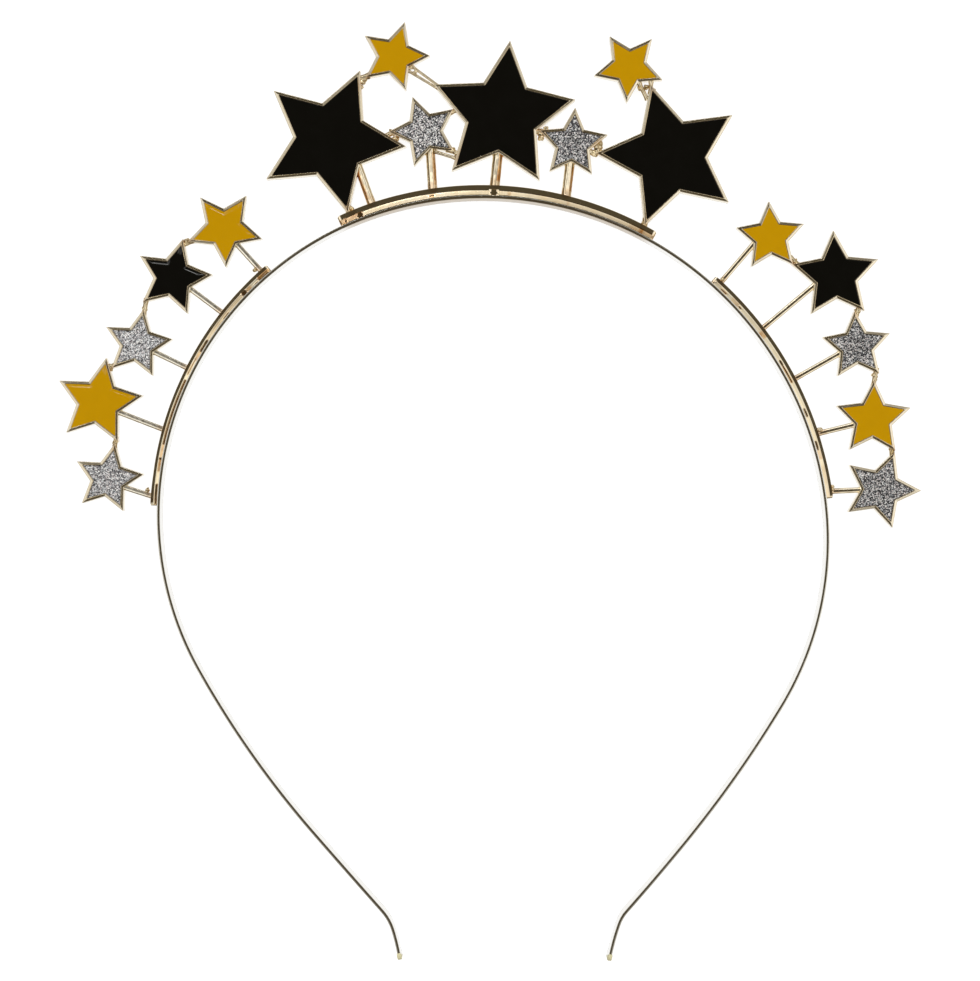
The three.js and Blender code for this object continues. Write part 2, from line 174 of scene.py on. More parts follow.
LUMPS = [  # frame, x, y, radius: drops of solder
    ("top", -24.2, 78.0, 0.80), ("top", -23.3, 78.8, 0.60), ("top", -24.6, 76.9, 0.55), ("top", -15.3, 80.6, 0.70), ("top", -14.3, 79.7, 0.5),
    ("top", -18.7, 68.2, 0.70), ("top", -19.6, 67.5, 0.50), ("top", -18.0, 66.95, 0.62), ("top", -6.8, 72.4, 0.55), ("top", -7.0, 64.7, 0.75), ("top", -6.4, 63.6, 0.50),
    ("top", 10.6, 69.0, 0.55), ("top", 9.6, 68.2, 0.70), ("top", 9.8, 67.1, 0.60), ("top", 20.5, 65.2, 0.95), ("top", 20.0, 64.1, 0.70),
    ("top", 21.0, 66.1, 0.55), ("top", 29.7, 76.8, 0.60), ("top", 28.6, 76.5, 0.50), ("top", 31.0, 76.1, 0.50), ("top", -26.6, 53.75, 0.60),
    ("top", -26.2, 52.9, 0.50), ("top", 29.4, 50.9, 0.60),
    ("left", -57.8, 47.25, 0.75), ("left", -57.1, 47.6, 0.45), ("left", -65.6, 35.6, 0.55), ("left", -65.8, 34.6, 0.55),
    ("left", -72.3, 23.4, 0.60), ("left", -71.4, 9.1, 0.55), ("left", -71.5, 8.3, 0.45), ("left", -65.3, 0.0, 0.50), ("left", -44.75, 42.0, 0.42),
    ("right", 58.0, 43.6, 0.60), ("right", 70.0, 34.2, 0.60), ("right", 69.8, 33.4, 0.55), ("right", 73.2, 21.9, 0.60), ("right", 73.4, 21.0, 0.55),
    ("right", 76.5, 7.6, 0.55), ("right", 44.3, 40.2, 0.50), ("right", 62.9, 11.6, 0.50), ("right", 65.3, 0.5, 0.50),
]


# ==== the strip's middle line =====================================================================
def run_points(run, side, step=0.2):
    x, y, heading = CROWN[0], CROWN[1], math.radians(CROWN[2]) + (math.pi if side < 0 else 0.0)
    s = 0.0
    rows = [(0.0, x, y, heading)]
    for length, turn in run:
        n = math.ceil(length / step)
        for _ in range(n):
            half = -side * math.radians(turn) / n / 2
            heading += half
            x += length / n * math.cos(heading)
            y += length / n * math.sin(heading)
            heading += half
            s += length / n
            rows.append((side * s, x, y, heading))
    return rows


def middle_line():
    """Rows of distance from the crown, x, y and the angle of the way out of the hoop."""
    left = [(s, x, y, h - math.pi / 2) for s, x, y, h in run_points(LEFT_RUN, -1)]
    right = [(s, x, y, h + math.pi / 2) for s, x, y, h in run_points(RIGHT_RUN, 1)]
    rows = np.array(left[::-1] + right[1:])
    rows[:, 3] = np.unwrap(rows[:, 3])
    ends = []
    for i, j in ((0, 1), (-1, -2)):
        d = rows[i] - rows[j]
        ends.append(rows[i] + d * (TIP_OVER / abs(d[0])))
        ends[-1][3] = rows[i][3]
    return np.vstack([ends[0], rows, ends[1]])


LINE = middle_line()


def on_line(s):
    s = np.asarray(s, float)
    x, y, a = (np.interp(s, LINE[:, 0], LINE[:, k]) for k in (1, 2, 3))
    return np.stack([x, y], -1), np.stack([np.cos(a), np.sin(a)], -1)


# ==== mesh helpers ==================================================================================
def to_frame(points):
    p = np.array(points, float)
    p[..., 0] -= CENTRE[0]
    p[..., 1] -= CENTRE[1]
    return p * MM


def loft(rings, cap=True):
    """Vertices and faces of a closed tube through rings of equal length, with fanned ends."""
    rings = np.asarray(rings, float)
    m, n = rings.shape[:2]
    verts = rings.reshape(-1, 3).tolist()
    faces = []
    for i in range(m - 1):
        for j in range(n):
            k = (j + 1) % n
            faces.append((i * n + j, i * n + k, (i + 1) * n + k, (i + 1) * n + j))
    if cap:
        for i, flip in ((0, True), (m - 1, False)):
            verts.append(rings[i].mean(0).tolist())
            c = len(verts) - 1
            for j in range(n):
                k = (j + 1) % n
                a, b = i * n + j, i * n + k
                faces.append((b, a, c) if flip else (a, b, c))
    return verts, faces


def make_object(name, verts, faces, material):
    mesh = bpy.data.meshes.new(name)
    mesh.from_pydata(to_frame(verts).tolist(), [], faces)
    bm = bmesh.new()
    bm.from_mesh(mesh)
    bmesh.ops.recalc_face_normals(bm, faces=bm.faces)
    bm.to_mesh(mesh)
    bm.free()
    mesh.shade_smooth()
    mesh.materials.append(material)
    obj = bpy.data.objects.new(name, mesh)
    bpy.context.scene.collection.objects.link(obj)
    return obj


def unite(parts, name, operation="UNION"):
    """One watertight solid out of closed parts that overlap, or the first one less the rest."""
    base = parts[0]
    for other in parts[1:]:
        mod = base.modifiers.new("join", "BOOLEAN")
        mod.operation = operation
        mod.solver = "MANIFOLD"
        mod.material_mode = "TRANSFER"
        mod.object = other
        dg = bpy.context.evaluated_depsgraph_get()
        mesh = bpy.data.meshes.new_from_object(base.evaluated_get(dg))
        base.modifiers.clear()
        old = base.data
        base.data = mesh
        bpy.data.meshes.remove(old)
        data = other.data
        bpy.data.objects.remove(other)
        bpy.data.meshes.remove(data)
    base.name = name
    base.data.name = name
    return base


def weld(mesh, distance):
    """Closes the slivers that joining leaves, and takes out pairs of faces that come to lie back to back."""
    bm = bmesh.new()
    bm.from_mesh(mesh)
    bmesh.ops.dissolve_degenerate(bm, dist=distance, edges=bm.edges[:])
    bmesh.ops.triangulate(bm, faces=bm.faces[:])
    same = {}
    for face in bm.faces:
        same.setdefault(frozenset(face.verts), []).append(face)
    bmesh.ops.delete(bm, geom=[f for pair in same.values() if len(pair) == 2 for f in pair], context="FACES")
    bm.to_mesh(mesh)
    bm.free()


def wobble(point, scale, seed):
    return noise.noise(Vector((point[0] * scale + seed * 17.3, point[1] * scale - seed * 5.1, point[2] * scale + seed * 2.7)))


def cross_section(half_u, half_v, radius, per_corner=6, along_v=4):
    """Rounded rectangle round the origin."""
    pts = []
    for cu, cv, a0 in ((1, 1, 0), (-1, 1, 90), (-1, -1, 180), (1, -1, 270)):
        for i in range(per_corner):
            a = math.radians(a0 + 90 * i / (per_corner - 1))
            pts.append((cu * (half_u - radius) + radius * math.cos(a), cv * (half_v - radius) + radius * math.sin(a)))
        if cu * cv > 0:
            continue
        nu = cu * half_u
        for i in range(1, along_v):
            pts.append((nu, cv * (half_v - radius) * (1 - 2 * i / along_v)))
    return np.array(pts)


def smooth(t):
    t = np.clip(t, 0, 1)
    return t * t * (3 - 2 * t)


# ==== materials =====================================================================================
def node_material(name):
    mat = bpy.data.materials.new(name)
    mat.use_nodes = True
    nt = mat.node_tree
    bsdf = nt.nodes["Principled BSDF"]
    coord = nt.nodes.new("ShaderNodeTexCoord")
    return mat, nt, bsdf, coord.outputs["Object"]


def noise_node(nt, vector, scale, detail=3.0, rough=0.55):
    n = nt.nodes.new("ShaderNodeTexNoise")
    n.inputs["Scale"].default_value = scale
    n.inputs["Detail"].default_value = detail
    n.inputs["Roughness"].default_value = rough
    nt.links.new(vector, n.inputs["Vector"])
    return n.outputs["Fac"]


def ramp(nt, fac, stops):
    r = nt.nodes.new("ShaderNodeValToRGB")
    cr = r.color_ramp
    while len(cr.elements) < len(stops):
        cr.elements.new(0.5)
    for e, (pos, col) in zip(cr.elements, stops):
        e.position = pos
        e.color = (*col, 1.0) if len(col) == 3 else col
    nt.links.new(fac, r.inputs["Fac"])
    return r.outputs["Color"]


def map_range(nt, fac, lo, hi, a=0.0, b=1.0):
    m = nt.nodes.new("ShaderNodeMapRange")
    m.inputs["From Min"].default_value = a
    m.inputs["From Max"].default_value = b
    m.inputs["To Min"].default_value = lo
    m.inputs["To Max"].default_value = hi
    nt.links.new(fac, m.inputs["Value"])
    return m.outputs["Result"]


def bump(nt, height, strength, distance):
    b = nt.nodes.new("ShaderNodeBump")
    b.inputs["Strength"].default_value = strength
    b.inputs["Distance"].default_value = distance
    nt.links.new(height, b.inputs["Height"])
    return b.outputs["Normal"]


def gold_material(name, tones, wave, fine, rough=(0.05, 0.14), drops=0.0, browns=None, edge=None):
    """Pale gold plating: slow waves left by polishing, fine pits, tone that drifts a little, and the orange
    brown that the mesh asks for, from soldering heat and from painted reflection, or in patches all over. An edge
    colour dulls the browned places where they are seen at a low angle."""
    mat, nt, bsdf, where = node_material(name)
    bsdf.inputs["Metallic"].default_value = 1.0
    tone = noise_node(nt, where, 260.0, 4.0)
    colour = ramp(nt, tone, list(zip((0.30, 0.52, 0.72), tones)))
    # the mesh's browning: soldering heat on the frames, and painted reflection on the top posts' flanks and on the
    # strip's inner face
    heat_and_reflection = nt.nodes.new("ShaderNodeAttribute")
    heat_and_reflection.attribute_name = "browning_and_reflection"
    patch = map_range(nt, noise_node(nt, where, 700.0, 3.0, 0.6), 0.55, 1.0, 0.35, 0.65)
    amount = nt.nodes.new("ShaderNodeMath")
    amount.operation = "MULTIPLY_ADD"
    amount.use_clamp = True
    nt.links.new(heat_and_reflection.outputs["Fac"], amount.inputs[0])
    nt.links.new(patch, amount.inputs[1])
    nt.links.new(map_range(nt, noise_node(nt, where, 420.0, 3.0, 0.6), 0.0, drops, 0.45, 0.70), amount.inputs[2])
    mix = nt.nodes.new("ShaderNodeMix")
    mix.data_type = "RGBA"
    nt.links.new(amount.outputs[0], mix.inputs["Factor"])
    nt.links.new(colour, mix.inputs["A"])
    nt.links.new(ramp(nt, noise_node(nt, where, 900.0), list(zip((0.35, 0.65), browns or HEAT_AND_REFLECTION_BROWNS))), mix.inputs["B"])
    if edge:
        nt.links.new(ramp(nt, heat_and_reflection.outputs["Fac"], [(0.0, (1.0, 1.0, 1.0)), (STRIP_PAINTED_REFLECTION, edge)]), bsdf.inputs["Specular Tint"])
    nt.links.new(mix.outputs["Result"], bsdf.inputs["Base Color"])
    nt.links.new(map_range(nt, noise_node(nt, where, 900.0, 4.0), *rough, 0.3, 0.75), bsdf.inputs["Roughness"])
    slow = noise_node(nt, where, 420.0, 2.0)
    quick = noise_node(nt, where, 3200.0, 2.0)
    first = nt.nodes.new("ShaderNodeBump")
    first.inputs["Strength"].default_value = 1.0
    first.inputs["Distance"].default_value = wave
    nt.links.new(slow, first.inputs["Height"])
    second = nt.nodes.new("ShaderNodeBump")
    second.inputs["Strength"].default_value = 1.0
    second.inputs["Distance"].default_value = fine
    nt.links.new(quick, second.inputs["Height"])
    nt.links.new(first.outputs["Normal"], second.inputs["Normal"])
    nt.links.new(second.outputs["Normal"], bsdf.inputs["Normal"])
    return mat


def enamel_material(name, dark, mid, light, rough):
    """Glossy fired enamel: slightly cloudy colour, faint orange peel."""
    mat, nt, bsdf, where = node_material(name)
    cloud = noise_node(nt, where, 330.0, 5.0, 0.6)
    nt.links.new(ramp(nt, cloud, [(0.25, dark), (0.5, mid), (0.75, light)]), bsdf.inputs["Base Color"])
    nt.links.new(map_range(nt, noise_node(nt, where, 1500.0, 3.0), *rough, 0.3, 0.7), bsdf.inputs["Roughness"])
    bsdf.inputs["IOR"].default_value = 1.5
    nt.links.new(bump(nt, noise_node(nt, where, 700.0, 2.0), 1.0, 0.0000015), bsdf.inputs["Normal"])
    return mat


def glitter_material(name, grains_per_metre, tones):
    """Silver glitter in clear resin: every grain has its own tone and its own tilt; a mesh attribute scales the colour,
    with painted shade along the rim.
    """
    mat, nt, bsdf, where = node_material(name)
    cells = nt.nodes.new("ShaderNodeTexVoronoi")
    cells.feature = "F1"
    cells.inputs["Scale"].default_value = grains_per_metre
    cells.inputs["Randomness"].default_value = 1.0
    nt.links.new(where, cells.inputs["Vector"])
    parts = nt.nodes.new("ShaderNodeSeparateColor")
    nt.links.new(cells.outputs["Color"], parts.inputs["Color"])
    grey = ramp(nt, parts.outputs["Red"], tones)
    tint = ramp(nt, parts.outputs["Green"], [
        (0.0, (1.0, 0.90, 0.95)), (0.2, (1.0, 0.97, 0.99)), (0.6, (0.97, 0.99, 1.0)), (1.0, (0.90, 0.96, 1.0))])
    mix = nt.nodes.new("ShaderNodeMix")
    mix.data_type = "RGBA"
    mix.blend_type = "MULTIPLY"
    mix.inputs["Factor"].default_value = 1.0
    nt.links.new(grey, mix.inputs["A"])
    nt.links.new(tint, mix.inputs["B"])
    # the mesh scales the colour: a brightness for the middle and the arms, and painted shade along the rim
    tone_and_rim_shade = nt.nodes.new("ShaderNodeAttribute")
    tone_and_rim_shade.attribute_name = "tone_and_rim_shade"
    tone = nt.nodes.new("ShaderNodeMix")
    tone.data_type = "RGBA"
    tone.blend_type = "MULTIPLY"
    tone.inputs["Factor"].default_value = 1.0
    nt.links.new(mix.outputs["Result"], tone.inputs["A"])
    nt.links.new(tone_and_rim_shade.outputs["Color"], tone.inputs["B"])
    nt.links.new(tone.outputs["Result"], bsdf.inputs["Base Color"])
    bsdf.inputs["Metallic"].default_value = 0.55
    nt.links.new(map_range(nt, parts.outputs["Blue"], 0.22, 0.5), bsdf.inputs["Roughness"])
    bsdf.inputs["Coat Weight"].default_value = 0.35
    bsdf.inputs["Coat Roughness"].default_value = 0.12
    geo = nt.nodes.new("ShaderNodeNewGeometry")
    shift = nt.nodes.new("ShaderNodeVectorMath")
    shift.operation = "MULTIPLY_ADD"
    nt.links.new(cells.outputs["Color"], shift.inputs[0])
    shift.inputs[1].default_value = (1.1, 1.1, 0.3)
    shift.inputs[2].default_value = (-0.55, -0.55, -0.1)
    add = nt.nodes.new("ShaderNodeVectorMath")
    add.operation = "ADD"
    nt.links.new(geo.outputs["Normal"], add.inputs[0])
    nt.links.new(shift.outputs["Vector"], add.inputs[1])
    norm = nt.nodes.new("ShaderNodeVectorMath")
    norm.operation = "NORMALIZE"
    nt.links.new(add.outputs["Vector"], norm.inputs[0])
    nt.links.new(norm.outputs["Vector"], bsdf.inputs["Normal"])
    return mat


PALE = ((0.89, 0.79, 0.60), (0.93, 0.84, 0.66), (0.95, 0.88, 0.72))
GREY = ((0.85, 0.80, 0.69), (0.90, 0.86, 0.76), (0.93, 0.90, 0.81))
STRIP = ((0.82, 0.80, 0.73), (0.87, 0.85, 0.79), (0.90, 0.88, 0.83))
HEAT_AND_REFLECTION_BROWNS = ((0.42, 0.17, 0.045), (0.74, 0.41, 0.13))
OCHRE = ((0.34, 0.23, 0.08), (0.78, 0.61, 0.31))
STRIP_PAINTED_REFLECTION = 0.35                # painted reflection: how far the strip's inner face inside the crown is browned to stand for its dim reflection
GOLD_STRIP = gold_material("gold_plate_strip", STRIP, 0.000006, 0.0000008, edge=(0.70, 0.66, 0.595))
TIP_DIP = enamel_material("cream_dip", (0.50, 0.47, 0.29), (0.54, 0.51, 0.32), (0.58, 0.55, 0.36), (0.45, 0.60))
GOLD = {
    "tray": gold_material("gold_plate_tray", PALE, 0.000008, 0.0000012),
    "rail": gold_material("gold_plate_rail", PALE, 0.000006, 0.0000010, (0.045, 0.10)),
    "post": gold_material("gold_plate_post", PALE, 0.000010, 0.0000012, edge=(0.62, 0.50, 0.36)),
    "dull": gold_material("gold_plate_dull_post", GREY, 0.000010, 0.0000012, (0.19, 0.27)),
    "solder": gold_material("gold_plate_solder", PALE, 0.000014, 0.0000015, drops=0.5, browns=OCHRE),
}
FILLS = {
    "mustard": enamel_material("mustard_enamel", (0.417, 0.221, 0.0), (0.430, 0.228, 0.0), (0.443, 0.235, 0.0), (0.035, 0.06)),
    "black": enamel_material("black_enamel", (0.0012, 0.0012, 0.0011), (0.0016, 0.0016, 0.0014), (0.0021, 0.0021, 0.0019), (0.03, 0.05)),
    "glitter": glitter_material("silver_glitter", 6200.0, [
        (0.0, (0.05, 0.052, 0.058)), (0.28, (0.12, 0.124, 0.134)), (0.5, (0.31, 0.315, 0.33)), (0.74, (0.64, 0.64, 0.66)), (1.0, (1.0, 1.0, 1.0))]),
    "sparkle": glitter_material("silver_glitter_sparkling", 5600.0, [
        (0.0, (0.02, 0.021, 0.024)), (0.35, (0.05, 0.052, 0.058)), (0.55, (0.18, 0.184, 0.195)), (0.72, (0.55, 0.55, 0.57)), (0.88, (1.0, 1.0, 1.0)), (1.0, (1.0, 1.0, 1.0))]),
}
GLITTER_BRIGHTNESS = {  # how bright the glitter is in the middle and in the arms
    "left_3": (1.18, 1.08), "left_5": (0.92, 1.04), "top_3": (0.96, 1.03), "top_5": (0.74, 1.00), "right_3": (0.64, 1.07), "right_5": (0.75, 0.98),
}


# ==== hoop strip ======================================================================================
def band_mesh():
    first, last = LINE[0, 0], LINE[-1, 0]
    near = [0.0, 0.015, 0.05, 0.10, 0.17, 0.26, 0.37, 0.5, 0.65, 0.8, 1.0, 1.2, 1.4, 1.6, 1.8, 2.1, 2.5]
    coarse = np.arange(first + 3.0, last - 3.0, 0.8)
    stations = np.concatenate([first + np.array(near), coarse, (last - np.array(near))[::-1]])
    centre, out = on_line(stations)
    rings = []
    for s, c, n in zip(stations, centre, out):
        d = min(s - first, last - s)
        half = BAND_HALF + (TIP_HALF - BAND_HALF) * float(smooth((TIP_LENGTH + 0.15 - d) / 0.3))
        deep = BAND_DEPTH / 2
        if d < TIP_OVER:
            half *= 0.35 + 0.65 * math.sqrt(max(0.0, 1 - (1 - d / TIP_OVER) ** 2))
        if d < 1.0:
            deep -= 1.0 - math.sqrt(max(0.0, 1 - (1 - d) ** 2))
        sec = cross_section(half, deep, min(BAND_EDGE, half * 0.9))
        ring = np.empty((len(sec), 3))
        ring[:, :2] = c + sec[:, :1] * n
        ring[:, 2] = BAND_DEPTH / 2 + sec[:, 1]
        rings.append(ring)
    return loft(rings)


# ==== rails ===========================================================================================
def dense(points, step):
    """The same open line with points no further than a step apart along its first number."""
    out = [points[0]]
    for p, q in zip(points, points[1:]):
        n = max(1, math.ceil(abs(q[0] - p[0]) / step - 1e-9))
        out += [(p[0] + (q[0] - p[0]) * i / n, p[1] + (q[1] - p[1]) * i / n) for i in range(1, n + 1)]
    return out


def window(x, lo, hi, soft):
    return smooth((x - lo + soft / 2) / soft) * smooth((hi + soft / 2 - x) / soft)


def rail_mesh(name):
    """A bar with a flat outer half, a slope down to the strip and a solder groove against it. Drops of solder
    and filing leave the slope level in places."""
    start, end, height = RAILS[name]
    table = RAIL_UPPER["top" if name == "top" else "side"]
    upper = np.array(dense(table, 0.04))
    under = np.array(RAIL_UNDER)
    near = np.array([0.0, 0.015, 0.05, 0.10, 0.17, 0.26, 0.37, 0.50, 0.66])
    stations = np.concatenate([start + near, np.arange(start + 0.8, end - 0.75, 0.16), (end - near)[::-1]])
    centre, out = on_line(stations)
    marks = [m for m in RAIL_MARKS if m[0] == name and m[5] > 0]
    seed, waver = {"left": (3, 1.0), "top": (1, 0.25), "right": (5, 0.6)}[name]
    crest = height / 2 - 0.03
    rings = []
    for s, c, n in zip(stations, centre, out):
        wide = float(np.interp(s, *zip(*RAIL_WIDTH[name])))
        share = upper[:, 0]
        if name == "top":
            k = float(np.interp(s, *zip(*SLOPE_SHARE)))
            share = np.interp(share, (0.0, SLOPE_END, 1.0), (0.0, SLOPE_END * k, 1.0))
        u = share * wide
        fall = upper[:, 1].copy()
        for _, a, b, mid, half, level, _ in marks:
            w = float(window(s, a, b, 0.25)) * level
            if w > 0:
                at = np.interp(mid / wide, upper[::-1, 0], upper[::-1, 1])
                there = window(u, mid - half, mid + half, 0.08) * (upper[:, 0] > 0.1) * (upper[:, 0] < 0.62)
                fall += (at - fall) * w * there
        # strokes along the bar, as left by hand polishing
        polish = np.array([wobble((s * 0.25, x * 4.0, 0), 1.0, seed) for x in u]) * 0.006 * waver
        fall -= polish * (upper[:, 0] > 0.04) * (upper[:, 0] < 0.93)
        pu = np.concatenate([under[:, 0] * wide, u])
        pv = np.concatenate([under[:, 1] * height, crest - fall])
        e = min(s - start, end - s)
        k = math.sqrt(max(0.0, 1 - (1 - min(1.0, e / 0.66)) ** 2))
        pu = wide / 2 + (pu - wide / 2) * (0.62 + 0.38 * k)
        pv = pv * (0.60 + 0.40 * k)
        ring = np.empty((len(pu), 3))
        ring[:, :2] = c + n * (BAND_HALF + pu[:, None])
        ring[:, 2] = MID_HEIGHT + pv
        rings.append(ring)
    return loft(rings)


# ==== star trays and fills ================================================================================
def star_ring(tip, inset, tip_round, notch_round, per_tip=7, per_notch=5, per_edge=3):
    notch = tip * NOTCH_RATIO
    half_tip = math.atan2(notch * math.sin(math.radians(36)), tip - notch * math.cos(math.radians(36)))
    half_notch = half_tip + math.radians(36)
    radii = (tip - inset / math.sin(half_tip), notch - inset / math.sin(half_notch))
    corners = [np.array([radii[k % 2] * math.cos(math.radians(36 * k)), radii[k % 2] * math.sin(math.radians(36 * k))]) for k in range(10)]
    arcs = []
    for k, p in enumerate(corners):
        a, b = corners[k - 1] - p, corners[(k + 1) % 10] - p
        a, b = a / np.linalg.norm(a), b / np.linalg.norm(b)
        beta, r, n = (half_tip, tip_round, per_tip) if k % 2 == 0 else (half_notch, notch_round, per_notch)
        mid = (a + b) / np.linalg.norm(a + b)
        c = p + mid * r / math.sin(beta)
        t1, t2 = p + a * r / math.tan(beta) - c, p + b * r / math.tan(beta) - c
        a1, a2 = math.atan2(t1[1], t1[0]), math.atan2(t2[1], t2[0])
        sweep = (a2 - a1 + math.pi) % (2 * math.pi) - math.pi
        arcs.append([c + r * np.array([math.cos(a1 + sweep * i / (n - 1)), math.sin(a1 + sweep * i / (n - 1))]) for i in range(n)])
    pts = []
    for k in range(10):
        pts += arcs[k]
        p, q = arcs[k][-1], arcs[(k + 1) % 10][0]
        pts += [p + (q - p) * (i + 1) / (per_edge + 1) for i in range(per_edge)]
    return np.array(pts)


def place(star, ring, z):
    _, x, y, _, turn, _, _ = star
    c, s = math.cos(math.radians(turn)), math.sin(math.radians(turn))
    out = np.empty((len(ring), 3))
    out[:, 0] = x + c * ring[:, 0] - s * ring[:, 1]
    out[:, 1] = y + s * ring[:, 0] + c * ring[:, 1]
    out[:, 2] = STAR_FRONT + z
    return out


def thickness(star):
    return 2.0 if star[3] > 10 else 1.7


def tray_mesh(star):
    tip, t = star[3], thickness(star)
    wide = t * math.tan(WALL_DRAFT)
    levels = [  # inset, height, rounding of the tips, rounding of the notches
        (0.60 - wide, -t, 0.16, 0.15), (0.10 - wide, -t, 0.16, 0.12), (0.02 - wide, -t + 0.03, 0.16, 0.12), (-wide, -t + 0.10, 0.16, 0.12),
        (-wide * 0.55, -t * 0.55, 0.12, 0.12), (-wide * 0.24 / t, -0.26, 0.08, 0.12), (-0.003, -0.15, 0.06, 0.12),
        (0.0, -0.115, 0.06, 0.12), (0.05, -0.060, 0.06, 0.13), (0.075, -0.0445, 0.06, 0.13), (0.095, -0.0400, 0.06, 0.14), (0.25, -0.0209, 0.06, 0.15),
        (0.40, -0.0025, 0.06, 0.17), (0.42, 0.0, 0.06, 0.18), (0.435, -0.003, 0.06, 0.19), (0.45, -0.015, 0.06, 0.20), (RIM_WIDTH, -0.115, 0.06, 0.23),
        (RIM_WIDTH, -0.19, 0.06, 0.24), (RIM_WIDTH + 0.01, -0.66, 0.06, 0.24), (RIM_WIDTH + 0.25, -0.70, 0.06, 0.24),
    ]
    return loft([place(star, star_ring(tip, i, tr, nr), z) for i, z, tr, nr in levels])


def edge_normals(ring):
    """Directions out of a ring that runs anticlockwise."""
    d = np.roll(ring, -1, 0) - np.roll(ring, 1, 0)
    n = np.stack([d[:, 1], -d[:, 0]], -1)
    return n / np.linalg.norm(n, axis=1, keepdims=True)


def fill_mesh(star):
    """The fill, as thick as its tray is deep: flat but for a tight fall at the rim, and some with a round
    shoulder along their upper edges, where the enamel shrank back as it set."""
    tip, dome = star[3], star[6]
    base, edge = -0.13, RIM_WIDTH + 0.012
    deepest = 0.42 * tip * 0.4426
    upper = np.array([math.cos(math.radians(80)), math.sin(math.radians(80))])
    rows = [(-1.0, edge + 0.10, -0.60), (-1.0, edge + 0.03, -0.55), (-1.0, edge, -0.34)]
    for x in (0.0, 0.015, 0.04, 0.08, 0.14, 0.22, 0.30, 0.36, 0.42, 0.48, 0.54, 0.60, 0.66, 0.72, 0.80, 0.92, 1.1, 1.3, 1.6, 1.9):
        if edge + x < deepest:
            rows.append((x, edge + x, base - 0.01 * math.exp(-x / 0.02)))
    rings = []
    for x, inset, z in rows:
        over = max(0.0, inset - edge)
        ring = place(star, star_ring(tip, inset, 0.06 + 0.22 * over, 0.25 + 0.45 * over), z)
        if x >= 0 and dome > 0:
            facing = smooth((edge_normals(ring[:, :2]) @ upper - 0.60) / 0.32)
            ring[:, 2] -= dome * facing * (1 - smooth((x - 0.30) / 0.42))
        rings.append(ring)
    return loft(rings)


def side_distance(star, points):
    """How far points lie inside the outline of a star."""
    _, x, y, tip, turn, _, _ = star
    a = np.radians(turn)
    q = points[:, :2] - (x, y)
    local = np.stack([q[:, 0] * np.cos(a) + q[:, 1] * np.sin(a), q[:, 1] * np.cos(a) - q[:, 0] * np.sin(a)], -1)
    bearing = np.abs((np.arctan2(local[:, 1], local[:, 0]) + math.radians(36)) % math.radians(72) - math.radians(36))
    away = np.hypot(local[:, 0], local[:, 1])
    px, py = away * np.cos(bearing), away * np.sin(bearing)
    notch = tip * NOTCH_RATIO
    side = np.array([notch * math.cos(math.radians(36)) - tip, notch * math.sin(math.radians(36))])
    side /= np.linalg.norm(side)
    return (tip - px) * side[1] + py * side[0]


def pocket_mesh(star):
    """What has to stay clear of solder: the room over a tray's fill, and the fill itself."""
    ring = star_ring(star[3], RIM_WIDTH + 0.03, 0.07, 0.25)
    return loft([place(star, ring, -0.69), place(star, ring, 0.6)])


# ==== posts and solder ====================================================================================
def basis(axis):
    axis = axis / np.linalg.norm(axis)
    u = np.cross(axis, [0, 0, 1.0])
    u /= np.linalg.norm(u)
    return axis, u, np.cross(u, axis)


ROUND = [(math.cos(math.radians(15 * k)), math.sin(math.radians(15 * k))) for k in range(24)]
FLAT_TOPPED = [  # shares of the radius: a narrow flat, two easy slopes, a round underside
    (1.00, 0.0), (0.985, 0.20), (0.95, 0.36), (0.90, 0.47), (0.84, 0.525), (0.62, 0.602), (0.43, 0.670), (0.40, 0.68), (0.36, 0.68),
    (0.0, 0.68), (-0.36, 0.68), (-0.40, 0.68), (-0.43, 0.670), (-0.62, 0.602), (-0.84, 0.525), (-0.90, 0.47), (-0.95, 0.36), (-0.985, 0.20),
    (-1.00, 0.0), (-0.94, -0.34), (-0.77, -0.64), (-0.50, -0.87), (-0.17, -0.98), (0.17, -0.98), (0.50, -0.87), (0.77, -0.64), (0.94, -0.34),
]
WIDE_TOPPED = [  # a wide flat, a narrow facet beside it and steep flanks
    (1.00, 0.0), (0.99, 0.16), (0.97, 0.30), (0.93, 0.43), (0.87, 0.54), (0.80, 0.615), (0.73, 0.66), (0.66, 0.68), (0.62, 0.68), (0.24, 0.68),
    (-0.13, 0.68), (-0.17, 0.677), (-0.21, 0.667), (-0.54, 0.572), (-0.58, 0.558), (-0.64, 0.52), (-0.74, 0.43), (-0.84, 0.32), (-0.92, 0.20), (-0.98, 0.08),
    (-1.00, 0.0), (-0.94, -0.34), (-0.77, -0.64), (-0.50, -0.87), (-0.17, -0.98), (0.17, -0.98), (0.50, -0.87), (0.77, -0.64), (0.94, -0.34),
]
ONE_FACET = [  # round but for one filed facet that leans 11 degrees, with a steep side beyond it
    (1.00, 0.0), (0.985, 0.20), (0.94, 0.36), (0.86, 0.52), (0.74, 0.66), (0.60, 0.77), (0.44, 0.85), (0.32, 0.885), (0.26, 0.892), (0.23, 0.889),
    (0.18, 0.878), (-0.10, 0.821), (-0.36, 0.768), (-0.42, 0.752), (-0.48, 0.712), (-0.62, 0.61), (-0.76, 0.49), (-0.88, 0.35), (-0.95, 0.21), (-0.985, 0.10),
    (-1.00, 0.0), (-0.94, -0.34), (-0.77, -0.64), (-0.50, -0.87), (-0.17, -0.98), (0.17, -0.98), (0.50, -0.87), (0.77, -0.64), (0.94, -0.34),
]


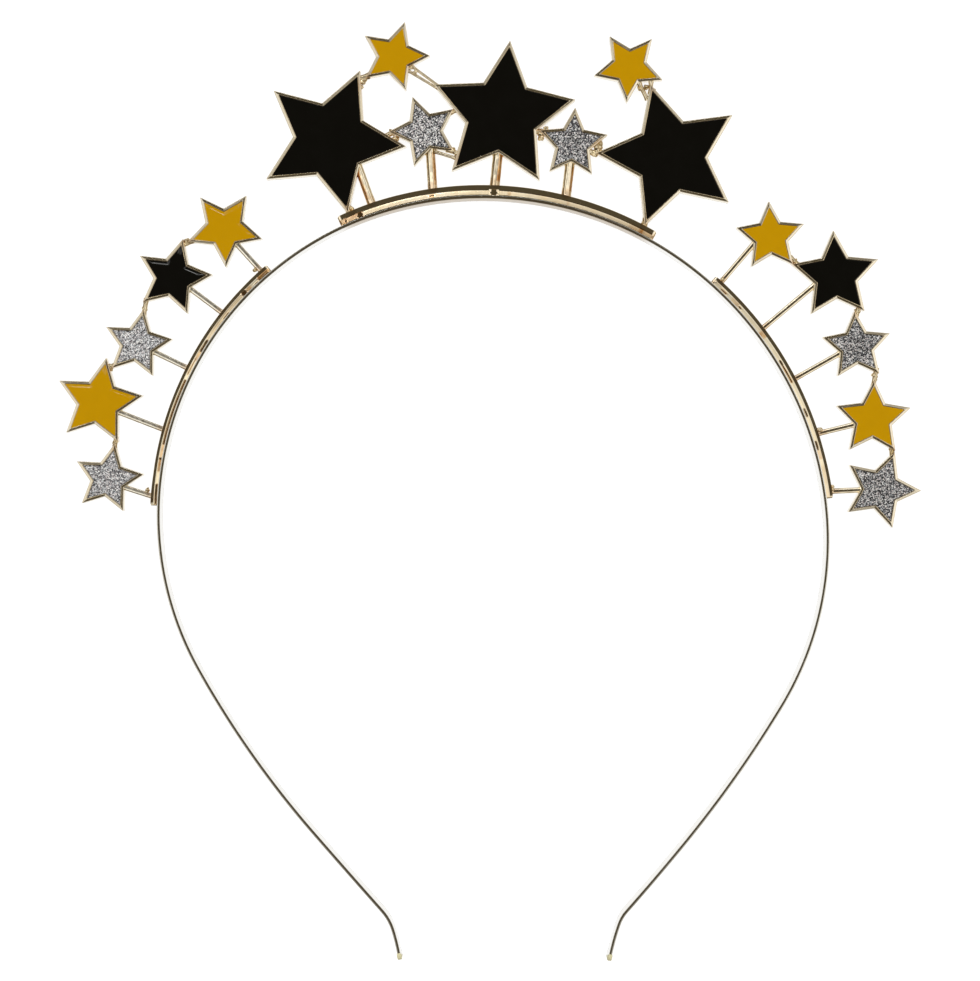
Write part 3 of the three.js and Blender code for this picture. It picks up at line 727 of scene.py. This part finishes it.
def rod_mesh(a, b, radius, flare_a, flare_b, seed, section=ROUND, lumps=0.02):
    """A rod from a to b whose ends swell into the solder."""
    a, b = np.array(a, float), np.array(b, float)
    axis, u, v = basis(b - a)
    length = np.linalg.norm(b - a)
    n = max(12, int(length / 0.22))
    rings = []
    for i in range(n + 1):
        s = length * i / n
        r0 = radius * (1 + flare_a * math.exp(-(s / 0.55) ** 2) + flare_b * math.exp(-((length - s) / 0.55) ** 2))
        p = a + axis * s
        ring = []
        for su, sv in section:
            d = su * u + sv * v
            ring.append(p + d * r0 * (1 + lumps * 2 * wobble(p + d * radius, 1.6, seed)))
        rings.append(ring)
    return loft(rings)


def blob_mesh(centre, radii, turn, seed, lumps=0.34, rows=14, cols=22):
    """A lump of solder."""
    c, s = math.cos(turn), math.sin(turn)
    rings = []
    for i in range(rows + 1):
        t = math.pi * (0.04 + 0.92 * i / rows)
        ring = []
        for j in range(cols):
            f = 2 * math.pi * j / cols
            d = np.array([math.sin(t) * math.cos(f), math.sin(t) * math.sin(f), math.cos(t)])
            k = 1 + lumps * 2 * wobble(np.array(centre) + d * 0.8, 1.3, seed)
            p = d * np.array(radii) * k
            ring.append([centre[0] + c * p[0] - s * p[1], centre[1] + s * p[0] + c * p[1], centre[2] + p[2]])
        rings.append(ring)
    return loft(rings)


STAR_BY_NAME = {s[0]: s for s in STARS}


def frame_parts(name):
    parts = [("rail", *rail_mesh(name))]
    for star in STARS:
        if star[0].startswith(name):
            parts.append(("tray", *tray_mesh(star)))
    for i, (star_name, x1, y1, x2, y2, d) in enumerate(POSTS):
        if not star_name.startswith(name):
            continue
        foot, head = np.array([x2, y2, MID_HEIGHT]), np.array([x1, y1, POST_STAR_HEIGHT])
        kind = "post"
        if name == "top":
            section = [(-FACET_SIDE[star_name] * su, sv) for su, sv in ONE_FACET]
        else:
            foot[2] = head[2] = (MID_HEIGHT + POST_STAR_HEIGHT) / 2
            section, kind = (WIDE_TOPPED, "dull") if name == "left" else (FLAT_TOPPED, kind)
        along = (head - foot) / np.linalg.norm(head - foot)
        parts.append((kind, *rod_mesh(foot - along * 0.45 * RAILS[name][2], head + along * POST_INTO_STAR, d / 2, 0.10, 0.14, 20 + i, section)))
    level = STAR_FRONT - BRIDGE_BELOW_FRONT
    for i, (owner, a, x1, y1, b, x2, y2, d) in enumerate(BRIDGES):
        if owner == name:
            p, q = (x1, y1, level), (x2, y2, MID_HEIGHT if b == "rail" else level)
            parts.append(("solder", *rod_mesh(p, q, d * 0.42, 0.25, 0.25, 50 + i, ROUND, 0.05)))
    for i, (owner, x, y, r) in enumerate(LUMPS):
        if owner == name:
            parts.append(("solder", *blob_mesh((x, y, level - 0.05), (r, r * 0.82, r * 0.85), 1.7 * i, 90 + i)))
    return parts


def along_strip(points, start, end):
    """Distance from the crown and offset out from the strip's middle, for points near a stretch of it."""
    line = LINE[(LINE[:, 0] > start) & (LINE[:, 0] < end)]
    s, u = np.empty(len(points)), np.empty(len(points))
    for i in range(0, len(points), 4000):
        p = points[i:i + 4000, :2]
        k = ((p[:, None] - line[None, :, 1:3]) ** 2).sum(-1).argmin(1)
        s[i:i + 4000] = line[k, 0]
        u[i:i + 4000] = (p[:, 0] - line[k, 1]) * np.cos(line[k, 3]) + (p[:, 1] - line[k, 2]) * np.sin(line[k, 3])
    return s, u


def heat_and_reflection_at(name, points):
    """How brown the plating is at points of a frame, 0 to 1: soldering heat at the rails, lumps and post feet, and a
    painted reflection along one flank of each top post.
    """
    start, end, _ = RAILS[name]
    s, u = along_strip(points, start - 1, end + 1)
    u = u - BAND_HALF
    heat_and_reflection = np.zeros(len(points))
    for owner, a, b, mid, half, _, amount in RAIL_MARKS:
        if owner == name:
            heat_and_reflection = np.maximum(heat_and_reflection, amount * window(s, a, b, 0.5) * window(u, mid - half, mid + half, 0.15))
    for owner, x, y, r in LUMPS:
        if owner == name:
            away = np.hypot(points[:, 0] - x, points[:, 1] - y)
            heat_and_reflection = np.maximum(heat_and_reflection, 0.5 * (1 - smooth((away - r) / 0.6)))
    for star_name, x1, y1, x2, y2, d in POSTS:
        if not star_name.startswith(name):
            continue
        away = np.hypot(points[:, 0] - x2, points[:, 1] - y2)
        heat_and_reflection = np.maximum(heat_and_reflection, 0.45 * (1 - smooth((away - 0.7) / 0.8)))
        if name == "top":       # painted reflection: one flank of each top post is browned, standing for the warm reflection it shows
            axis = np.array([x1 - x2, y1 - y2]) / math.hypot(x1 - x2, y1 - y2)
            rel = points[:, :2] - (x2, y2)
            towards, start_share = REFLECTION_FLANK[star_name]
            along, side = rel @ axis, rel @ np.array([axis[1], -axis[0]]) * towards
            on = (np.abs(side) < d * 0.6) * (along > 0.5) * (along < math.hypot(x1 - x2, y1 - y2) - 0.2) * (points[:, 2] < STAR_FRONT - 0.13)
            heat_and_reflection = np.maximum(heat_and_reflection, on * smooth((side / d - start_share) / 0.14))
    return heat_and_reflection


def mesh_points(obj):
    """A mesh's points in mm, before the whole is put on the origin."""
    flat = np.empty(len(obj.data.vertices) * 3)
    obj.data.vertices.foreach_get("co", flat)
    return flat.reshape(-1, 3) / MM + (CENTRE[0], CENTRE[1], 0.0)


def give_attribute(obj, name, values):
    obj.data.attributes.new(name, "FLOAT", "POINT").data.foreach_set("value", values.astype(np.float32))


def build_frame(name):
    made = [make_object(f"{name}_{kind}_{i}", v, f, GOLD[kind]) for i, (kind, v, f) in enumerate(frame_parts(name))]
    obj = unite(made, f"{name}_frame_metal")
    pockets = [make_object(f"pocket_{s[0]}", *pocket_mesh(s), GOLD["tray"]) for s in STARS if s[0].startswith(name)]
    obj = unite([obj] + pockets, f"{name}_frame_metal", "DIFFERENCE")
    mesh = obj.data
    weld(mesh, 0.002 * MM)
    mesh.shade_smooth()
    mesh.set_sharp_from_angle(angle=math.radians(38))
    give_attribute(obj, "browning_and_reflection", heat_and_reflection_at(name, mesh_points(obj)))
    return obj


# ==== pieces ==================================================================================================
band = make_object("hoop_strip", *band_mesh(), GOLD_STRIP)
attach(band, "root")
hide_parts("band")
band.data.materials.append(TIP_DIP)
s, u = along_strip(mesh_points(band), -400, 400)
# painted reflection: the strip's inner face along the top rail is browned, and dulled at low angles, for the dim
# brownish reflection it shows
give_attribute(band, "browning_and_reflection", STRIP_PAINTED_REFLECTION * window(s, RAILS["top"][0] + 1, RAILS["top"][1] - 1, 4.0) * (u < 0))
tips = [(LINE[k, 1] - CENTRE[0], LINE[k, 2] - CENTRE[1]) for k in (0, -1)]
for face in band.data.polygons:        # dipped at a slant, further up at the front edge
    dipped = TIP_LENGTH + 0.05 - 0.9 * (1 - face.center[2] / MM / BAND_DEPTH)
    if min(math.hypot(face.center[0] / MM - x, face.center[1] / MM - y) for x, y in tips) < dipped:
        face.material_index = 1

for owner in RAILS:
    piece = build_frame(owner)
    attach(piece, "root")
    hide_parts(f"{owner}_star_frame")

for star in STARS:
    owner, number = star[0].split("_")
    finish = "sparkle" if star[5] == "glitter" and owner != "left" else star[5]
    piece = make_object(f"{owner}_fill_{number}", *fill_mesh(star), FILLS[finish])
    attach(piece, "root")
    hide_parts(f"{owner}_enamel_{number}")
    if star[0] in GLITTER_BRIGHTNESS:
        middle, arms = GLITTER_BRIGHTNESS[star[0]]
        p = mesh_points(piece)
        reach = np.hypot(p[:, 0] - star[1], p[:, 1] - star[2]) / star[3]
        # painted shade: the glitter is held at half brightness next to the rim, where the rim's shadow falls, and comes
        # back to full a third of a millimetre further in; the rest is the brightness of the middle and the arms
        tone_and_rim_shade = (middle + (arms - middle) * smooth((reach - 0.25) / 0.35)) * (0.5 + 0.5 * smooth((side_distance(star, p) - RIM_WIDTH - 0.08) / 0.25))
        give_attribute(piece, "tone_and_rim_shade", tone_and_rim_shade)


# ==== floor, light, camera ====================================================================================
def floor_piece():
    mesh = bpy.data.meshes.new("floor")
    mesh.from_pydata([(-3, -3, -2e-5), (3, -3, -2e-5), (3, 3, -2e-5), (-3, 3, -2e-5)], [], [(0, 1, 2, 3)])
    mat, nt, bsdf, where = node_material("floor_paper")
    nt.links.new(ramp(nt, noise_node(nt, where, 3.0), [(0.3, (0.265, 0.265, 0.263)), (0.7, (0.275, 0.275, 0.273))]), bsdf.inputs["Base Color"])
    bsdf.inputs["Roughness"].default_value = 0.9
    bsdf.inputs["Emission Color"].default_value = (1.0, 1.0, 1.0, 1.0)
    bsdf.inputs["Emission Strength"].default_value = 0.84
    bsdf.inputs["Specular IOR Level"].default_value = 0.0
    mesh.materials.append(mat)
    obj = bpy.data.objects.new("floor", mesh)
    obj.visible_glossy = False           # the metal mirrors the room under the light table, not the table
    bpy.context.scene.collection.objects.link(obj)


def world_light():
    """A white room with a dark opening overhead: bright towards +Y, dimmer and warmer towards -Y and the horizon."""
    world = bpy.data.worlds.new("studio")
    bpy.context.scene.world = world
    world.use_nodes = True
    nt = world.node_tree
    nt.nodes.clear()
    out = nt.nodes.new("ShaderNodeOutputWorld")
    coord = nt.nodes.new("ShaderNodeTexCoord")
    sep = nt.nodes.new("ShaderNodeSeparateXYZ")
    nt.links.new(coord.outputs["Generated"], sep.inputs[0])

    def math_node(op, a, b=None, c=None):
        n = nt.nodes.new("ShaderNodeMath")
        n.operation = op
        for i, x in enumerate((a, b, c)):
            if x is None:
                continue
            if isinstance(x, (int, float)):
                n.inputs[i].default_value = x
            else:
                nt.links.new(x, n.inputs[i])
        return n.outputs[0]

    z = sep.outputs["Z"]
    angle = math_node("DIVIDE", math_node("ARCCOSINE", z), math.pi)        # 0 overhead, 0.5 at the horizon
    flat = math_node("SQRT", math_node("MAXIMUM", math_node("SUBTRACT", 1.0, math_node("MULTIPLY", z, z)), 1e-6))
    north = math_node("DIVIDE", sep.outputs["Y"], flat)                     # 1 towards +Y, -1 towards -Y
    north01 = math_node("MULTIPLY_ADD", north, 0.5, 0.5)

    def deg(a):
        return a / 180.0

    core, below = (0.076, 0.063, 0.040), (1.0, 1.0, 1.0)

    def by_height(opening, *stops):
        """Colours from overhead down; the dark opening overhead reaches to the first angle."""
        return ramp(nt, angle, [(deg(opening), core)] + [(deg(a), c) for a, c in stops] + [(deg(147), below), (deg(180), below)])

    far = by_height(31.0, (33.0, (1.2, 1.19, 1.17)), (45, (1.1, 1.08, 1.04)), (55, (0.50, 0.47, 0.42)), (65, (0.25, 0.22, 0.18)), (100, (0.16, 0.13, 0.09)), (111, (0.58, 0.53, 0.44)), (135, (0.70, 0.65, 0.56)))
    near = by_height(26.5, (28.5, (1.0, 0.97, 0.90)), (45, (0.95, 0.91, 0.83)), (53, (0.25, 0.21, 0.15)), (62, (0.07, 0.055, 0.035)), (100, (0.06, 0.046, 0.03)), (111, (0.58, 0.53, 0.44)), (135, (0.70, 0.65, 0.56)))
    east = by_height(11.2, (12.8, (1.0, 0.98, 0.94)), (27, (1.0, 0.98, 0.94)), (31, (1.25, 1.21, 1.13)), (45, (1.2, 1.16, 1.07)), (55, (0.55, 0.49, 0.40)), (100, (0.50, 0.43, 0.34)), (111, (0.64, 0.59, 0.50)), (135, (0.72, 0.67, 0.58)))
    west = by_height(11.2, (12.8, (0.80, 0.78, 0.74)), (27, (0.85, 0.83, 0.78)), (31, (1.35, 1.31, 1.22)), (45, (1.3, 1.25, 1.15)), (55, (0.25, 0.21, 0.15)), (100, (0.14, 0.11, 0.075)), (111, (0.58, 0.53, 0.44)), (135, (0.70, 0.65, 0.56)))

    def blend(fac, a, b):
        m = nt.nodes.new("ShaderNodeMix")
        m.data_type = "RGBA"
        nt.links.new(fac, m.inputs["Factor"])
        nt.links.new(a, m.inputs["A"])
        nt.links.new(b, m.inputs["B"])
        return m.outputs["Result"]

    east01 = math_node("MULTIPLY_ADD", math_node("DIVIDE", sep.outputs["X"], flat), 0.5, 0.5)      # 1 towards +X, 0 towards -X
    room = blend(ramp(nt, north01, [(0.45, (0, 0, 0)), (0.55, (1, 1, 1))]), near, far)
    room = blend(ramp(nt, east01, [(0.67, (0, 0, 0)), (0.97, (1, 1, 1))]), room, east)
    room = blend(ramp(nt, east01, [(0.03, (1, 1, 1)), (0.33, (0, 0, 0))]), room, west)

    def facing(degrees):
        """1 towards an azimuth, 0 away from it."""
        a = math.radians(degrees)
        toward = math_node("ADD", math_node("MULTIPLY", sep.outputs["X"], math.cos(a)), math_node("MULTIPLY", sep.outputs["Y"], math.sin(a)))
        return math_node("MULTIPLY_ADD", math_node("DIVIDE", toward, flat), 0.5, 0.5)

    # one strip light beside the opening
    strip = math_node("MULTIPLY", ramp(nt, facing(100), [(0.93, (0, 0, 0)), (0.972, (1, 1, 1))]),
                      ramp(nt, angle, [(deg(30.6), (0, 0, 0)), (deg(31.4), (1, 1, 1)), (deg(34.0), (1, 1, 1)), (deg(35.0), (0, 0, 0))]))
    mix = nt.nodes.new("ShaderNodeMix")
    mix.data_type = "RGBA"
    nt.links.new(strip, mix.inputs["Factor"])
    nt.links.new(room, mix.inputs["A"])
    mix.inputs["B"].default_value = (6.0, 6.0, 5.9, 1.0)
    lit = nt.nodes.new("ShaderNodeBackground")
    nt.links.new(mix.outputs["Result"], lit.inputs["Color"])
    plain = nt.nodes.new("ShaderNodeBackground")
    plain.inputs["Color"].default_value = (0.93, 0.93, 0.93, 1)
    path = nt.nodes.new("ShaderNodeLightPath")
    pick = nt.nodes.new("ShaderNodeMixShader")
    nt.links.new(path.outputs["Is Camera Ray"], pick.inputs["Fac"])
    nt.links.new(lit.outputs[0], pick.inputs[1])
    nt.links.new(plain.outputs[0], pick.inputs[2])
    nt.links.new(pick.outputs[0], out.inputs["Surface"])


def overhead_light():
    data = bpy.data.lights.new("overhead", "AREA")
    data.shape = "SQUARE"
    data.size = 0.9
    data.energy = 6.0
    obj = bpy.data.objects.new("overhead", data)
    obj.location = (0, 0.05, 0.9)
    obj.visible_glossy = False
    bpy.context.scene.collection.objects.link(obj)


def photo_camera():
    """Straight above the stars' plane, 0.5 m away; 980 pixels span 186.2 mm there."""
    data = bpy.data.cameras.new("photo")
    data.sensor_fit = "HORIZONTAL"
    data.sensor_width = 36.0
    data.lens = 36.0 * 500.0 / 186.2
    data.clip_start, data.clip_end = 0.01, 50.0
    obj = bpy.data.objects.new("photo", data)
    obj.location = (-CENTRE[0] * MM, -CENTRE[1] * MM, 0.5045)
    bpy.context.scene.collection.objects.link(obj)
    bpy.context.scene.camera = obj


floor_piece()
world_light()
overhead_light()
photo_camera()
bpy.context.scene.view_settings.view_transform = "Standard"
